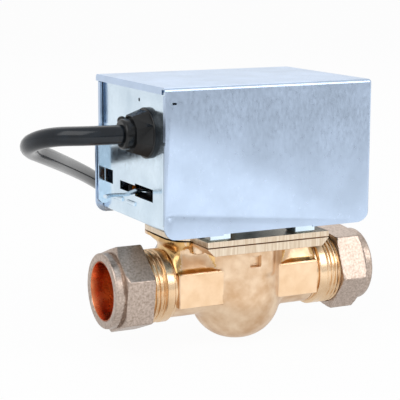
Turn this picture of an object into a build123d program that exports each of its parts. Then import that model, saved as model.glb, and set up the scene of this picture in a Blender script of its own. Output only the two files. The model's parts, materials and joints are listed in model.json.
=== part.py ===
from build123d import *
import os
from math import atan2, cos, degrees, hypot, pi, radians, sin, sqrt, tan

# Motorised zone valve for 22 mm pipe: a forged two-port valve body with compression ends,
# and a spring-return actuator head of folded sheet steel above it.
# The parts are drawn about the body's centre axis: X along the pipe, Z up, millimetres.
# They are written with the mouth of the inlet socket (at -X), where the pipe enters the body, as the origin.

os.makedirs("parts", exist_ok=True)

# Pipe run and compression ends
PIPE_BORE_R = 11.1
OLIVE_CLEAR = 0.1
NUT_CLEAR = 0.2
HALF_RUN = 56.3
NUT_LENGTH = 14.3
NUT_FLATS = 30.5
NUT_RING_R = 14.25
NUT_WALL = 3.0
INLET_NUT_TURN = -9.4
OUTLET_NUT_TURN = -22.4
THREAD_R = 14.3
THREAD_GAP = 0.15
THREAD_LENGTH = 16.5
NUT_OVERHANG = 9.3
SOCKET_DEPTH = 11.3
MOUTH_CONE = 1.2
WATERWAY_R = 8.8

# Forged body
GROOVE_WIDTH = 1.6
GROOVE_R = 13.2
NECK_R = 13.0
WRENCH_X = 11.8
WRENCH_Y = 14.0
WRENCH_Z = (-7.0, 6.5)
BOWL_R = 17.9
BOWL_WALL = 3.4
BOWL_BOTTOM = -24.2
BOWL_FLAT_R = 1.4
BOWL_SHIFT = 6.0
FLANGE_X = (-24.9, 27.6)
FLANGE_Y = 26.5
FLANGE_BOTTOM = 15.2
FLANGE_TOP = 18.8
FLANGE_BEVEL = 3.0
PLATE_T = 2.1
LOBE_X = 31.0
LOBE_Y = (-13.0, 25.0)
LOBE_BOTTOM = 17.0
LOBE_CORNER = 11.0
SADDLE_Y = 8.6
PADS_X = ((-25.8, -15.5), (17.5, 25.0))
PAD_Y = 10.0
PAD_BOTTOM = 7.2
BOSS_XY = (5.6, -15.8)
BOSS_R = 3.3
BOSS_BOTTOM = 3.5
RECESS_X = (-2.5, 2.3)
RECESS_Z = (7.6, 12.3)
LEDGE_X = (-6.7, 4.8)
LEDGE_Z = (-2.3, 2.9)

# Ball and spindle
BALL_R = 8.5
BALL_X = -5.2
SEAT_R = 7.0
SEAT_GAP = 0.15
SPINDLE_Y = 13.5
SPINDLE_R = 3.0
RUN_FIT = 0.03
TRAVEL = 38.0

# Actuator head
COVER_X = (-44.8, 41.2)
COVER_Y = 32.0
COVER_Z = (25.5, 79.5)
COVER_T = 0.8
LIP_Z = 59.0
FRONT_EDGE = (-44.8, -45.1)
BACK_EDGE = (-43.9, -45.5)
TOP_LIP = 2.6
CORNER_R = (4.5, 5.8)
COVER_STEP = (-21.2, 17.0)
DIMPLE_XZ = (-42.7, 33.4)
DIMPLE_R = 4.2
DIMPLE_DEPTH = 0.55
END_WALL_X = -42.3
SHEET = 1.0
FLOOR_Z = 27.2
FRAME_Y = 30.5
CABLE_R = 3.6
GLAND_Y = -11.4
GLAND_Z = 61.1
GLAND_NECK_R = 7.4

# Gear train and motor
MODULE = 0.7
SECTOR_TEETH = 67
PINION_TEETH = 15
PRESSURE = 25.0
MESH_ANGLE = -23.5
GEAR_Z = (29.5, 31.5)
MOTOR_PLATE_Z = (44.0, 45.2)
MOTOR_R = 23.5
MOTOR_CLEAR = 1.4
GEARBOX_TOP = 55.5
EAR_T = 1.2
MOTOR_TOP = 74.0

# Manual lever
LEVER_PIVOT = (-4.0, -14.0)
LEVER_RATIO = 0.45
LEVER_Z = 38.0
LEVER_T = 0.8
LEVER_WIDTH = 3.2
LEVER_WALL_Y = -3.0
LEVER_TIP_X = -56.1

# Micro-switch
SWITCH_HINGE = (-19.8, 1.8)
NOSE_R = 1.5
CAM_R = 15.0
CAM_GAP = 0.25
SWITCH_RATIO = 0.35

BODY_END = HALF_RUN - NUT_OVERHANG
SOCKET_MOUTH = BODY_END - MOUTH_CONE
SOCKET_STOP = SOCKET_MOUTH - SOCKET_DEPTH
NECK_END = BODY_END - THREAD_LENGTH
PLATE_TOP = FLANGE_TOP + PLATE_T
MOTOR_AXIS = (COVER_X[1] - COVER_T - MOTOR_CLEAR - MOTOR_R, 0.5)
SPINDLE_XY = (0.0, SPINDLE_Y)
NOSE_XY = (-(CAM_R + NOSE_R + CAM_GAP), SPINDLE_Y)
parts = {}


# Helpers
def turned_x(profile):
    """Revolves (x, radius) points about the pipe axis."""
    return revolve(Plane.XZ * make_face(Polyline(*profile, close=True)), Axis.X)


def turned_z(profile, x=0.0, y=0.0):
    """Revolves (radius, z) points about a vertical axis at x, y."""
    face = Plane.XZ * make_face(Polyline(*profile, close=True))
    return Pos(x, y, 0) * revolve(face, Axis.Z)


def rod(radius, z0, z1, x=0.0, y=0.0):
    return Pos(x, y, (z0 + z1) / 2) * Cylinder(radius, z1 - z0)


def rod_x(radius, x0, x1, y=0.0, z=0.0):
    return Pos((x0 + x1) / 2, y, z) * Rot(0, 90, 0) * Cylinder(radius, x1 - x0)


def block(x, y, z):
    """A block between the two values of each pair."""
    size = (x[1] - x[0], y[1] - y[0], z[1] - z[0])
    return Pos((x[0] + x[1]) / 2, (y[0] + y[1]) / 2, (z[0] + z[1]) / 2) * Box(*size)


def slab(face, z0, z1):
    """Extrudes a plan face from z0 to z1."""
    return Pos(0, 0, z0) * extrude(face, z1 - z0)


def polar(radius, angle, centre=SPINDLE_XY):
    return (centre[0] + radius * cos(radians(angle)), centre[1] + radius * sin(radians(angle)))


def edges_at(shape, axis, value, near=0.05):
    """The edges that lie in one plane across the axis."""
    picked = []
    for edge in shape.edges():
        box = edge.bounding_box()
        low = {Axis.X: box.min.X, Axis.Y: box.min.Y, Axis.Z: box.min.Z}[axis]
        high = {Axis.X: box.max.X, Axis.Y: box.max.Y, Axis.Z: box.max.Z}[axis]
        if abs(low - value) < near and abs(high - value) < near:
            picked.append(edge)
    return picked


def pan_screw(x, y, seat, shank_r, length, head_r, head_h):
    """A screw with a domed head and a straight driver slot, head resting on z = seat."""
    body = rod(shank_r, seat - length, seat, x, y)
    head = rod(head_r, seat, seat + head_h, x, y)
    head = fillet(head.edges().sort_by(Axis.Z)[-1], head_h * 0.45)
    slot = block((x - head_r, x + head_r), (y - 0.35, y + 0.35), (seat + head_h * 0.5, seat + head_h + 1))
    return body + (head - slot)


def tube(points, radius, share=0.45):
    """A round tube along straight runs joined by tangent arcs, and its centre line."""
    points = [Vector(*p) for p in points]
    radii = []
    for before, here, after in zip(points, points[1:], points[2:]):
        turn = (here - before).get_angle(after - here)
        shorter = min((here - before).length, (after - here).length)
        radii.append(share * shorter / tan(radians(turn / 2)))
    path = FilletPolyline(*points, radius=radii)
    start = Plane(origin=points[0], z_dir=(points[1] - points[0]).normalized())
    return sweep(start * Circle(radius), path), path, radii


# Valve body
def bowl_plan(radius):
    """The chamber's plan: a slot that reaches back to the spindle."""
    return Pos(0, BOWL_SHIFT / 2) * SlotCenterToCenter(BOWL_SHIFT, 2 * radius, rotation=90)


def flange_plan():
    """The flange's plan: a plate with a rounded lobe past each end."""
    middle = Pos((FLANGE_X[0] + FLANGE_X[1]) / 2, 0) * Rectangle(FLANGE_X[1] - FLANGE_X[0], 2 * FLANGE_Y)
    lobe_y = (LOBE_Y[0] + LOBE_Y[1]) / 2
    return middle + Pos(0, lobe_y) * RectangleRounded(2 * LOBE_X, LOBE_Y[1] - LOBE_Y[0], LOBE_CORNER)


SEAT_X = BALL_X - sqrt((BALL_R + SEAT_GAP) ** 2 - SEAT_R**2)
CHAMBER_R = BOWL_R - BOWL_WALL
CHAMBER_BOTTOM = BOWL_BOTTOM + BOWL_WALL
RING_R = CHAMBER_R + 2.1
SCREW_XY = [(22.3, -13.0), (22.3, 12.5), (-22.3, -13.0), (-22.3, 12.5)]
FOOT_XY = [(17.0, -22.0), (17.0, 22.0), (-19.5, -22.0), (-19.5, 22.0)]
SCREW_R = 1.75
SCREW_FIT = 0.05


def threaded_end(side):
    """One turned end outside the wrench flats: groove, plain ring and thread, and the stepped bore inside."""
    groove = NECK_END + GROOVE_WIDTH
    profile = [
        (NECK_END - 2, 0), (NECK_END - 2, NECK_R - 0.5), (NECK_END, GROOVE_R), (groove, GROOVE_R),
        (groove, THREAD_R), (BODY_END - 0.8, THREAD_R), (BODY_END, THREAD_R - 0.8), (BODY_END, 0),
    ]
    bore = [
        (NECK_END - 3, 0), (NECK_END - 3, WATERWAY_R), (SOCKET_STOP, WATERWAY_R),
        (SOCKET_STOP, PIPE_BORE_R), (SOCKET_MOUTH, PIPE_BORE_R), (BODY_END, PIPE_BORE_R + MOUTH_CONE),
        (BODY_END + 1, PIPE_BORE_R + MOUTH_CONE), (BODY_END + 1, 0),
    ]
    turn = Rot(0, 0, 0 if side > 0 else 180)
    return turn * turned_x(profile), turn * turned_x(bore)


def bowl_solid(radius, bottom, top):
    """A deep round-bottomed pot on the chamber's plan."""
    pot = slab(bowl_plan(radius), bottom, top)
    return fillet(edges_at(pot, Axis.Z, bottom), radius - BOWL_FLAT_R)


def neck():
    """The two round pipe necks in one run, each with a block of wrench flats."""
    run = rod_x(NECK_R, -NECK_END, NECK_END)
    run = chamfer(edges_at(run, Axis.X, NECK_END) + edges_at(run, Axis.X, -NECK_END), 0.6)
    for x in ((WRENCH_X, NECK_END), (-NECK_END, -WRENCH_X)):
        flats = block(x, (-WRENCH_Y, WRENCH_Y), WRENCH_Z)
        run = run + fillet(flats.edges(), 0.8)
    return run


def saddle():
    """The forging's spine between the necks and the flange, hollowed at each end in a concave curve."""
    foot, top = NECK_R - 1.5, FLANGE_BOTTOM + 1
    hip = NECK_END - 4.0
    curves = [ThreePointArc((side * NECK_END, foot), (side * (hip + 0.9), foot + 1.9), (side * hip, top))
              for side in (-1, 1)]
    left, right = curves
    below = [Line(left @ 0, (-NECK_END, 4)), Line((-NECK_END, 4), (NECK_END, 4)), Line((NECK_END, 4), right @ 0)]
    face = make_face([left, Line(left @ 1, right @ 1), right, *below])
    return extrude(Plane.XZ * face, SADDLE_Y, both=True)


def valve_body():
    top = FLANGE_BOTTOM + 1
    body = bowl_solid(BOWL_R, BOWL_BOTTOM, top) + neck() + saddle()
    for x in PADS_X:
        pad = block(x, (-PAD_Y, PAD_Y), (PAD_BOTTOM, top))
        body = body + chamfer(pad.edges().filter_by(Axis.Z), 1.2)
    rear = block((-LOBE_X + 4.5, LOBE_X - 4.5), (BOWL_SHIFT, BOWL_SHIFT + 12), (-6, top))
    body = body + fillet(rear.edges().filter_by(Axis.X).group_by(Axis.Z)[0], 5.0)
    lower = block(FLANGE_X, (-FLANGE_Y, FLANGE_Y), (FLANGE_BOTTOM, FLANGE_TOP))
    lower = chamfer(lower.edges().filter_by(Axis.Y).group_by(Axis.Z)[0], FLANGE_BEVEL)
    body = body + lower + slab(flange_plan(), LOBE_BOTTOM, FLANGE_TOP)
    boss = rod(BOSS_R, BOSS_BOTTOM, top, *BOSS_XY)
    body = body + fillet(edges_at(boss, Axis.Z, BOSS_BOTTOM), BOSS_R - 0.9)
    body = body - block(RECESS_X, (-BOWL_R - 1, -BOWL_R + 1.5), RECESS_Z)
    body = body + (slab(bowl_plan(BOWL_R + 0.5), *LEDGE_Z) & block(LEDGE_X, (-2 * BOWL_R, 0), LEDGE_Z))
    ends = [threaded_end(1), threaded_end(-1)]
    body = body + ends[0][0] + ends[1][0]
    body = body - bowl_solid(CHAMBER_R, CHAMBER_BOTTOM, FLANGE_TOP + 1)
    body = body + rod_x(SEAT_R + 2.4, -CHAMBER_R - 2, SEAT_X)
    body = body - ends[0][1] - ends[1][1] - rod_x(WATERWAY_R, 8, NECK_END)
    body = body - rod_x(WATERWAY_R, -NECK_END, -CHAMBER_R - 2) - rod_x(SEAT_R, -NECK_END, 0)
    groove = bowl_plan(RING_R + 1.0) - bowl_plan(RING_R - 1.0)
    body = body - slab(groove, FLANGE_TOP - 1.4, FLANGE_TOP + 1)
    for x, y in SCREW_XY:
        body = body - rod(SCREW_R + SCREW_FIT, FLANGE_BOTTOM - 1, FLANGE_TOP + 1, x, y)
    return body


def body_plate():
    """The brass closing plate, with the spigot that locates it and the spindle's long bush."""
    plate = slab(flange_plan(), FLANGE_TOP, PLATE_TOP)
    plate = plate + slab(bowl_plan(CHAMBER_R - 0.2), FLANGE_TOP - 1.6, FLANGE_TOP)
    bush = [(0, 16), (6, 16), (6, FLANGE_TOP), (6.8, FLANGE_TOP), (6.8, 24.9), (6.1, 25.6), (0, 25.6)]
    plate = plate + turned_z(bush, *SPINDLE_XY)
    plate = plate - rod(SPINDLE_R + RUN_FIT, 10, 30, *SPINDLE_XY)
    for x, y in SCREW_XY:
        plate = plate - rod(SCREW_R + 0.15, FLANGE_TOP - 1, PLATE_TOP + 1, x, y)
    for x, y in FOOT_XY:
        plate = plate - rod(1.5, FLANGE_TOP - 1, PLATE_TOP + 1, x, y)
    return plate


parts["valve_body"] = valve_body()
parts["body_plate"] = body_plate()
ring_band = bowl_plan(RING_R + 0.95) - bowl_plan(RING_R - 0.95)
parts["plate_seal"] = slab(ring_band, FLANGE_TOP - 1.4, FLANGE_TOP)
plate_screws = [pan_screw(x, y, PLATE_TOP, SCREW_R, 5.8, 3.4, 2.3) for x, y in SCREW_XY]
parts["body_plate_screws"] = Compound(plate_screws)


# Compression ends
def nut(side, turn):
    """A compression nut: hexagon behind, round turned ring in front, cone inside for the olive."""
    back = HALF_RUN - NUT_LENGTH
    front = HALF_RUN
    corner = NUT_FLATS / 2 / cos(radians(30))
    hexagon = Plane.YZ * (Rot(0, 0, 30) * RegularPolygon(corner, 6))
    hexagon = Pos(back, 0, 0) * extrude(hexagon, NUT_LENGTH, dir=(1, 0, 0))
    outside = [
        (back, 0), (back, corner - 0.9), (back + 0.6, corner + 0.1), (front - 3.6, corner + 0.1),
        (front - 2.5, NUT_RING_R + 0.2), (front - 2.3, NUT_RING_R), (front - 1.0, NUT_RING_R),
        (front - 0.3, NUT_RING_R - 0.5), (front, NUT_RING_R - 1.3), (front, 0),
    ]
    cone = front - NUT_WALL
    thread = THREAD_R + THREAD_GAP
    hole = PIPE_BORE_R + NUT_CLEAR
    inside = [
        (back - 1, 0), (back - 1, thread + 0.9), (back, thread + 0.9), (back + 0.9, thread),
        (cone - 2.6, thread), (cone - 2.6, hole + 1.8), (cone - 1.9, hole + 1.8), (cone, hole),
        (front - 0.5, hole), (front, hole + 0.5), (front + 1, hole + 0.5), (front + 1, 0),
    ]
    solid = (hexagon & turned_x(outside)) - turned_x(inside)
    solid = Rot(turn * side, 0, 0) * solid
    return solid if side > 0 else Rot(0, 0, 180) * solid


def olive(side):
    """The soft copper ring that the nut squeezes onto the pipe."""
    inner = BODY_END - 0.7
    outer = HALF_RUN - NUT_WALL - 0.25
    bore = PIPE_BORE_R + OLIVE_CLEAR
    profile = [
        (inner, bore), (inner, bore + 0.2), (inner + 1.3, bore + 1.25), ((inner + outer) / 2, bore + 1.5),
        (outer - 1.7, bore + 1.25), (outer, bore + 0.1), (outer, bore),
    ]
    ring = turned_x(profile)
    return ring if side > 0 else Rot(0, 0, 180) * ring


parts["inlet_nut"] = nut(-1, INLET_NUT_TURN)
parts["outlet_nut"] = nut(1, OUTLET_NUT_TURN)
parts["inlet_olive"] = olive(-1)
parts["outlet_olive"] = olive(1)


# Spindle, arm and ball
SEAL_Z = (19.6, 22.8)
CLIP_Z = 15.0
HUB_Z = (FLOOR_Z + 1.0, 33.0)
SPINDLE_TOP = 35.6
FLAT_HALF = 2.4
BALL_ANGLE = degrees(atan2(-SPINDLE_Y, BALL_X))
BALL_ARM = hypot(SPINDLE_Y, BALL_X)


def spindle():
    r = SPINDLE_R
    profile = [(0, -5), (r - 0.5, -5), (r, -4.5), (r, CLIP_Z), (r - 0.6, CLIP_Z), (r - 0.6, CLIP_Z + 0.8)]
    profile += [(r, CLIP_Z + 0.8)]
    for z in SEAL_Z:
        profile += [(r, z - 0.75), (r - 1.42, z - 0.75), (r - 1.42, z + 0.75), (r, z + 0.75)]
    profile += [(r, 33.4), (r - 0.6, 33.4), (r - 0.6, 34.2), (r, 34.2), (r, SPINDLE_TOP - 0.6)]
    profile += [(r - 0.6, SPINDLE_TOP), (0, SPINDLE_TOP)]
    shaft = turned_z(profile, *SPINDLE_XY)
    for sign in (1, -1):
        flat = Pos(0, sign * (FLAT_HALF + 2)) * block((-5, 5), (-2, 2), (27.6, SPINDLE_TOP + 1))
        shaft = shaft - Pos(0, SPINDLE_Y, 0) * flat
    return shaft - arm_pin(0.01)


def arm_pin(grow=0.0):
    pin = Rot(90, 0, 0) * Cylinder(1.0 + grow, 9.4 + 4 * grow)
    return Pos(0, SPINDLE_Y, 0) * Rot(0, 0, BALL_ANGLE) * pin


def ball_arm():
    """A turned hub with a short arm and the stud that the rubber ball is moulded on."""
    hub = turned_z([(0, -3.4), (4.2, -3.4), (4.8, -2.8), (4.8, 2.8), (4.2, 3.4), (0, 3.4)])
    arm = block((3, 5.9), (-2.2, 2.2), (-2.6, 2.6))
    stud = rod_x(2.0, 5, BALL_ARM + 1)
    collar = rod_x(3.4, BALL_ARM - 2, BALL_ARM)
    arm = hub + arm + stud + collar - rod(SPINDLE_R + 0.02, -5, 5)
    return Pos(0, SPINDLE_Y, 0) * Rot(0, 0, BALL_ANGLE) * arm - arm_pin(0.01)


def valve_ball():
    hollow = rod_x(2.02, 0, BALL_ARM + 1.02) + rod_x(3.42, BALL_ARM - 2.02, BALL_ARM + 0.02)
    ball = Pos(BALL_ARM, 0, 0) * Sphere(BALL_R) - hollow
    return Pos(0, SPINDLE_Y, 0) * Rot(0, 0, BALL_ANGLE) * ball


def clip(z, gap_turn):
    """An open retaining ring in the spindle's groove."""
    ring = rod(4.6, z + 0.1, z + 0.7) - rod(SPINDLE_R - 0.55, z, z + 1)
    ring = ring - block((0, 6), (-1.6, 1.6), (z, z + 1))
    return Pos(0, SPINDLE_Y, 0) * Rot(0, 0, gap_turn) * ring


parts["spindle"] = spindle()
seals = [Pos(0, SPINDLE_Y, z) * Torus(SPINDLE_R - 0.71, 0.69) for z in SEAL_Z]
parts["spindle_seals"] = Compound(seals)
parts["spindle_clips"] = Compound([clip(CLIP_Z, 90), clip(33.4, 20)])
parts["ball_arm"] = ball_arm()
parts["arm_pin"] = arm_pin()
parts["valve_ball"] = valve_ball()


# Gears
def involute_point(base_r, angle):
    """The point of a circle's involute after that unrolling angle, in radians."""
    return (
        base_r * (cos(angle) + angle * sin(angle)),
        base_r * (sin(angle) - angle * cos(angle)),
    )


def gear_face(teeth, backlash=0.12, tip_share=0.9, root_share=1.25, steps=3):
    """An involute gear's plan with one tooth centred on +X."""
    pitch = MODULE * teeth / 2
    base = pitch * cos(radians(PRESSURE))
    tip = pitch + tip_share * MODULE
    root = pitch - root_share * MODULE
    roll = tan(radians(PRESSURE)) - radians(PRESSURE)
    half = pi / 2 / teeth - backlash / 2 / pitch + roll
    start = max(base, root)
    flank = []
    for k in range(steps + 1):
        r = start + (tip - start) * k / steps
        angle = sqrt(max((r / base) ** 2 - 1, 0))
        x, y = involute_point(base, angle)
        flank.append((hypot(x, y), half - atan2(y, x)))
    if root < base:
        flank.insert(0, (root, flank[0][1]))
    outline = []
    for n in range(teeth):
        centre = 2 * pi * n / teeth
        outline += [(r * cos(centre - a), r * sin(centre - a)) for r, a in flank]
        outline += [(r * cos(centre + a), r * sin(centre + a)) for r, a in reversed(flank)]
    return make_face(Polyline(*outline, close=True))


CENTRES = MODULE * (SECTOR_TEETH + PINION_TEETH) / 2 + 0.08
PINION_XY = polar(CENTRES, MESH_ANGLE)
LINK_ANGLE = degrees(atan2(LEVER_PIVOT[1] - SPINDLE_Y, LEVER_PIVOT[0]))
LINK_SPAN = hypot(LEVER_PIVOT[0], LEVER_PIVOT[1] - SPINDLE_Y)
LUG_R = LINK_SPAN * LEVER_RATIO / (1 + LEVER_RATIO)
LEVER_TAIL = LINK_SPAN - LUG_R
LUG_ANGLE = LINK_ANGLE - TRAVEL / 2
TAIL_ANGLE = LINK_ANGLE + 180 + TRAVEL / 2 * LEVER_RATIO
LINK_PIN_R = 1.0
LINK_SLOT = 0.4
SPRING_SECTOR = polar(12.5, 212)
SPRING_FRAME = (-12.0, 27.2)


def cam_points():
    """The cam's edge, worked out from the switch nose as the sector turns under it."""
    points = []
    for step in range(6):
        turn = TRAVEL * step / 5
        swing = radians(turn * SWITCH_RATIO)
        dx, dy = NOSE_XY[0] - SWITCH_HINGE[0], NOSE_XY[1] - SWITCH_HINGE[1]
        x = SWITCH_HINGE[0] + dx * cos(swing) - dy * sin(swing)
        y = SWITCH_HINGE[1] + dx * sin(swing) + dy * cos(swing) - SPINDLE_Y
        angle = degrees(atan2(y, x)) % 360 - turn
        points.append(polar(hypot(x, y) - NOSE_R - CAM_GAP, angle, (0, 0)))
    return points


def sector_gear():
    """A flat toothed sector with the cam for the switch, the lever's slotted lug and the spring's arm."""
    pitch_step = 360 / SECTOR_TEETH
    teeth = Rot(0, 0, MESH_ANGLE + pitch_step / 2) * gear_face(SECTOR_TEETH)
    low = MESH_ANGLE - 9 * pitch_step
    high = MESH_ANGLE + 2 * pitch_step
    reach = MODULE * SECTOR_TEETH / 2 + 4
    fan = [(0, 0)] + [polar(reach / cos(radians((high - low) / 8)), low + (high - low) * k / 4, (0, 0))
                      for k in range(5)]
    plan = (teeth & make_face(Polyline(*fan, close=True))) + Circle(8.2)
    window = [polar(r, a, (0, 0)) for r, a in ((11.5, low + 14), (19, low + 9), (19, high - 9), (11.5, high - 14))]
    arc_in = ThreePointArc(window[3], polar(11.5, (low + high) / 2, (0, 0)), window[0])
    arc_out = ThreePointArc(window[1], polar(19, (low + high) / 2, (0, 0)), window[2])
    plan = plan - make_face([Line(window[0], window[1]), arc_out, Line(window[2], window[3]), arc_in])
    edge = cam_points()
    first = polar(CAM_R, 186, (0, 0))
    rise = Spline(first, *edge)
    plan = plan + make_face([rise, Line(edge[-1], (0, 0)), Line((0, 0), first)])
    lug = Pos(LUG_R / 2 + 2, 0) * RectangleRounded(LUG_R + 4.6, 7.0, 2.2)
    lug = Rot(0, 0, LUG_ANGLE) * lug
    arm = Rot(0, 0, 212) * (Pos(7, 0) * RectangleRounded(14.5, 4.4, 1.8))
    plan = plan + lug + arm
    slot = SlotCenterToCenter(2.2, 2 * (LINK_PIN_R + LINK_SLOT))
    plan = plan - Rot(0, 0, LUG_ANGLE) * (Pos(LUG_R + 0.4, 0) * slot)
    plan = plan - Pos(*polar(12.5, 212, (0, 0))) * Circle(0.75)
    sector = slab(plan, *GEAR_Z) + rod(5.6, *HUB_Z)
    hole = rod(SPINDLE_R + 0.02, 20, 40) & block((-5, 5), (-FLAT_HALF - 0.02, FLAT_HALF + 0.02), (20, 40))
    return Pos(0, SPINDLE_Y, 0) * (sector - hole)


def motor_pinion():
    gear = Rot(0, 0, MESH_ANGLE + 180) * gear_face(PINION_TEETH)
    pinion = slab(gear, GEAR_Z[0] - 0.6, GEAR_Z[1] + 1.0) + rod(2.0, GEAR_Z[1], 46.4)
    return Pos(*PINION_XY, 0) * pinion


parts["sector_gear"] = sector_gear()
parts["motor_pinion"] = motor_pinion()


# Base frame and motor stack
POST_XY = [(35.0, -25.5), (35.0, 25.5), (-6.0, -26.0), (-5.0, 26.0)]
POST_MARGIN = 3.2
EAR_ANGLES = (135, -45)
EAR_R = MOTOR_R + 3.5
EAR_WIDTH = 7.5
BASE_X = (END_WALL_X, 39.6)
WALL_TOP = COVER_Z[1] - COVER_T - 0.4
FLANK_TOP = 34.5
CHEEK_OUT = 2.6
WIRE_HOLE_Y, WIRE_HOLE_Z = (21.6, 29.2), (37.0, 42.4)
LEVER_SLOTS = [((-15.7, 0.5), (35.6, 40.4)), ((0.4, 14.6), (36.2, 39.6))]
TABS_Y = ((0.0, 7.0), (12.0, 19.8))
TAB_Z = (31.6, 33.2)
SPRING_Z = 35.4
EARTH_XY = (-34.5, -23.5)
SWITCH_X = (-33.6, -23.4)
SWITCH_Y = (0.6, 20.6)
SWITCH_Z = (FLOOR_Z + 0.05, FLOOR_Z + 6.4)
SWITCH_HOLES = [(SWITCH_X[0] + 5.0, 5.1), (SWITCH_X[0] + 5.0, 16.1)]
TERMINAL_Y = (11.6, 15.3, 19.0)
TERMINAL_Z = 30.1


def foot(x, y):
    """A square cup pressed down from the floor to stand on the body plate, with its screw hole."""
    low = PLATE_TOP + 0.02
    cup = block((x - 4.2, x + 4.2), (y - 4.2, y + 4.2), (low, FLOOR_Z - SHEET))
    cup = chamfer(edges_at(cup, Axis.Z, low), 0.8)
    well = block((x - 3.3, x + 3.3), (y - 3.3, y + 3.3), (low + SHEET, FLOOR_Z + 1))
    return cup, well + rod(1.6, low - 1, low + 2, x, y)


def base_frame():
    floor = block(BASE_X, (-FRAME_Y, FRAME_Y), (FLOOR_Z - SHEET, FLOOR_Z))
    wall = block((END_WALL_X, END_WALL_X + SHEET), (-FRAME_Y, FRAME_Y), (FLOOR_Z - SHEET, WALL_TOP))
    wall = fillet(wall.edges().filter_by(Axis.X).group_by(Axis.Z)[-1], 2.0)
    frame = floor + wall
    heel = [e for e in edges_at(frame, Axis.X, END_WALL_X) if abs(e.center().Z - FLOOR_Z + SHEET) < 0.05]
    frame = fillet(heel, 0.9)
    for sign in (1, -1):
        y = sorted((sign * FRAME_Y, sign * (FRAME_Y - SHEET)))
        flank = block((END_WALL_X + 6.3, BASE_X[1] - 1.5), y, (FLOOR_Z - SHEET, FLANK_TOP))
        frame = frame + fillet(flank.edges().filter_by(Axis.Y).group_by(Axis.Z)[-1], 3.0)
        cheek = block((END_WALL_X - CHEEK_OUT, END_WALL_X + SHEET), y, (FLOOR_Z + 1.0, LIP_Z - 1.5))
        frame = frame + chamfer(cheek.edges().filter_by(Axis.Y).group_by(Axis.X)[0], 1.4)
    tail = block((BASE_X[1] - SHEET, BASE_X[1]), (-24, 24), (FLOOR_Z - SHEET, FLANK_TOP + 1.5))
    frame = frame + fillet(tail.edges().filter_by(Axis.X).group_by(Axis.Z)[-1], 3.0)
    for x, y in FOOT_XY:
        cup, well = foot(x, y)
        frame = frame + cup - well
    through = (END_WALL_X - 1, END_WALL_X + 2)
    frame = frame - block(through, WIRE_HOLE_Y, WIRE_HOLE_Z)
    for y, z in LEVER_SLOTS:
        frame = frame - block(through, y, z)
    frame = frame - rod_x(0.7, *through, -3.8, 72.7)
    frame = frame - rod_x(GLAND_NECK_R + 0.2, *through, GLAND_Y, GLAND_Z)
    for y in TABS_Y:
        tab = block((END_WALL_X - 0.9, END_WALL_X + 0.5), y, TAB_Z)
        frame = frame + chamfer(edges_at(tab, Axis.X, END_WALL_X - 0.9), 0.4)
        hollow = (TAB_Z[0] + 0.3, TAB_Z[1] - 0.3)
        frame = frame - block((END_WALL_X + 0.5, END_WALL_X + 2), (y[0] + 0.5, y[1] - 0.5), hollow)
    frame = frame - rod(8.0, FLOOR_Z - 2, FLOOR_Z + 1, *SPINDLE_XY)
    for x, y in POST_XY:
        frame = frame - rod(1.6, FLOOR_Z - 2, FLOOR_Z + 1, x, y)
    for x, y in SWITCH_HOLES + [EARTH_XY, LEVER_PIVOT]:
        frame = frame - rod(1.3, FLOOR_Z - 2, FLOOR_Z + 1, x, y)
    x, y = SPRING_FRAME[0], FRAME_Y - 2.6
    hook = block((x - 2, x + 2), (y - 0.5, y + 0.5), (FLOOR_Z - 0.5, SPRING_Z + 3))
    return frame + hook - Pos(x, y, SPRING_Z) * Rot(90, 0, 0) * Cylinder(0.75, 4)


def post(x, y):
    """A turned spacer, riveted to the floor and tapped at the top."""
    low, high = FLOOR_Z, MOTOR_PLATE_Z[0]
    spacer = turned_z([(0, low), (2.6, low), (2.9, low + 0.4), (2.9, high - 0.4), (2.6, high), (0, high)], x, y)
    spacer = spacer - rod(1.3, high - 6, high + 1, x, y)
    return spacer + rod(1.55, FLOOR_Z - SHEET, low + 0.1, x, y)


def motor_plate():
    low, high = MOTOR_PLATE_Z
    xs, ys = [x for x, y in POST_XY], [y for x, y in POST_XY]
    centre = Pos((min(xs) + max(xs)) / 2, (min(ys) + max(ys)) / 2)
    width, depth = max(xs) - min(xs) + 2 * POST_MARGIN, max(ys) - min(ys) + 2 * POST_MARGIN
    plate = slab(centre * RectangleRounded(width, depth, 4.5), low, high)
    plate = plate - rod(5.3, low - 1, high + 1, *PINION_XY)
    for x, y in POST_XY:
        plate = plate - rod(1.5, low - 1, high + 1, x, y)
    for angle in EAR_ANGLES:
        plate = plate - rod(1.3, low - 1, high + 1, *polar(EAR_R, angle, MOTOR_AXIS))
    return plate


def gearbox():
    """The motor's reduction gearbox: a shallow round case with two mounting ears and an output boss."""
    low = MOTOR_PLATE_Z[1]
    case = turned_z([(0, low), (MOTOR_R - 0.8, low), (MOTOR_R - 0.8, GEARBOX_TOP), (0, GEARBOX_TOP)], *MOTOR_AXIS)
    for angle in EAR_ANGLES:
        ear = RectangleRounded(EAR_R + 6, EAR_WIDTH, EAR_WIDTH / 2 - 0.1)
        ear = slab(Pos(EAR_R / 2, 0) * ear, low, low + EAR_T)
        case = case + Pos(*MOTOR_AXIS, 0) * Rot(0, 0, angle) * ear
    pocket = slab(Circle(EAR_R + 5) - Circle(MOTOR_R - 0.79), low + EAR_T + 0.01, GEARBOX_TOP)
    case = case - Pos(*MOTOR_AXIS, 0) * pocket
    for angle in EAR_ANGLES:
        case = case - rod(1.4, low - 1, low + 3, *polar(EAR_R, angle, MOTOR_AXIS))
    case = case + rod(5.0, low - 3.4, low + 1, *PINION_XY)
    return case - rod(2.0 + RUN_FIT, low - 5, low + 1.6, *PINION_XY)

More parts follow.
